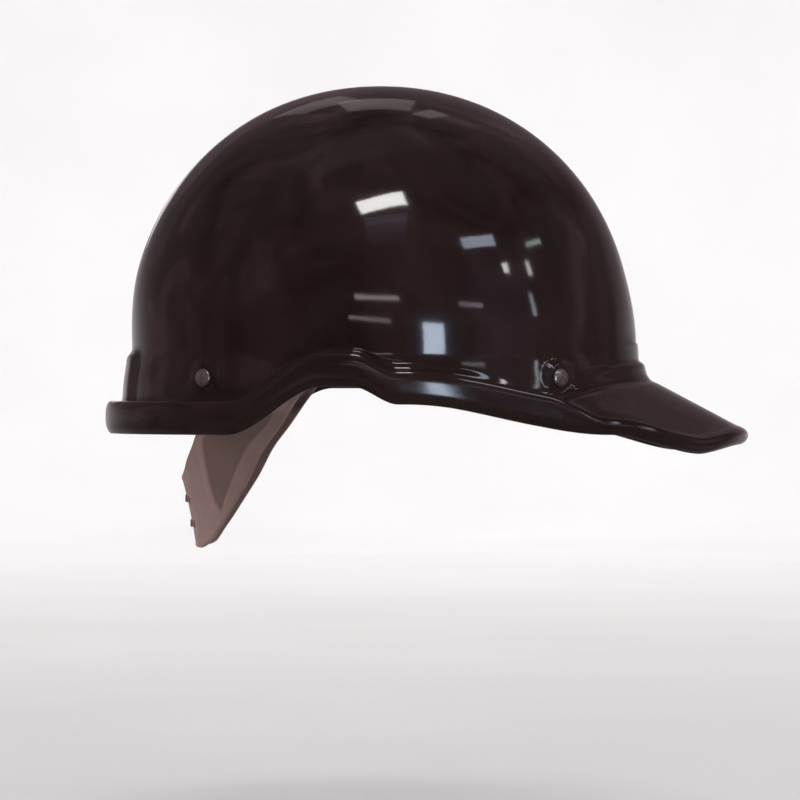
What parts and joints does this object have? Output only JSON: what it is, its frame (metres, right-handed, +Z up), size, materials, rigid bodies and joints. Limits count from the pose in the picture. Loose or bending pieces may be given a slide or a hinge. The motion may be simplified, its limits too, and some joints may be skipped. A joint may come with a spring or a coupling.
{
  "type": "safety helmet",
  "caption": "Glossy cap-style hard hat with short peak, rain gutter, arched sides, riveted webbing cradle, height-adjustable headband and swinging nape strap.",
  "frame": {"origin": "centre of the head opening, under the crown, level with the lower edge of the rear rim", "axes": "+X forward over the peak, +Y to the wearer's left, +Z up through the crown"},
  "size_m": [0.2853, 0.2216, 0.2045],
  "materials": {
    "shell_plastic": "very glossy, almost black maroon-brown moulding",
    "rivet_metal": "bronze-lacquered rivet heads outside, bare steel inside",
    "washer_steel": "zinc plated",
    "anchor_nylon": "natural nylon, slightly translucent",
    "hanger_plastic": "natural polyethylene, satin",
    "webbing": "woven polyester webbing, off-white",
    "thread": "bonded dark thread",
    "headband_plastic": "tan polyethylene, satin",
    "button_nylon": "natural nylon",
    "sweatband_vinyl": "black perforated leatherette over foam",
    "snap_metal": "nickel plated snap",
    "nape_plastic": "tan polyethylene, satin, slightly yellowed",
    "pad_fabric": "beige cotton terry over foam"
  },
  "bodies": {
    "shell_body": {"shell": "shell_plastic", "shell_rivets": "rivet_metal", "rivet_washers": "washer_steel", "anchor_front_left": "anchor_nylon", "anchor_front_right": "anchor_nylon", "anchor_rear_left": "anchor_nylon", "anchor_rear_right": "anchor_nylon", "hanger_front_left": "hanger_plastic", "hanger_front_right": "hanger_plastic", "hanger_rear_left": "hanger_plastic", "hanger_rear_right": "hanger_plastic", "crown_strap_lower": "webbing", "crown_strap_upper": "webbing", "crown_stitching": "thread"},
    "headband_body": {"headband": "headband_plastic", "height_buttons": "button_nylon", "sweatband": "sweatband_vinyl", "sweatband_snaps": "snap_metal", "nape_pivot_left": "button_nylon", "nape_pivot_right": "button_nylon"},
    "nape_body": {"nape_strap_left": "nape_plastic", "nape_strap_right": "nape_plastic", "nape_pad": "pad_fabric"}
  },
  "joints": [
    {"name": "headband_height", "type": "slide", "parent": "shell_body", "child": "headband_body", "axis": [0, 0, 1], "range_m": [-0.005, 0.005]},
    {"name": "nape_swing", "type": "hinge", "parent": "headband_body", "child": "nape_body", "pos_m": [-0.033, 0, 0.033], "axis": [0, 1, 0], "range_deg": [-50, 3]}
  ]
}
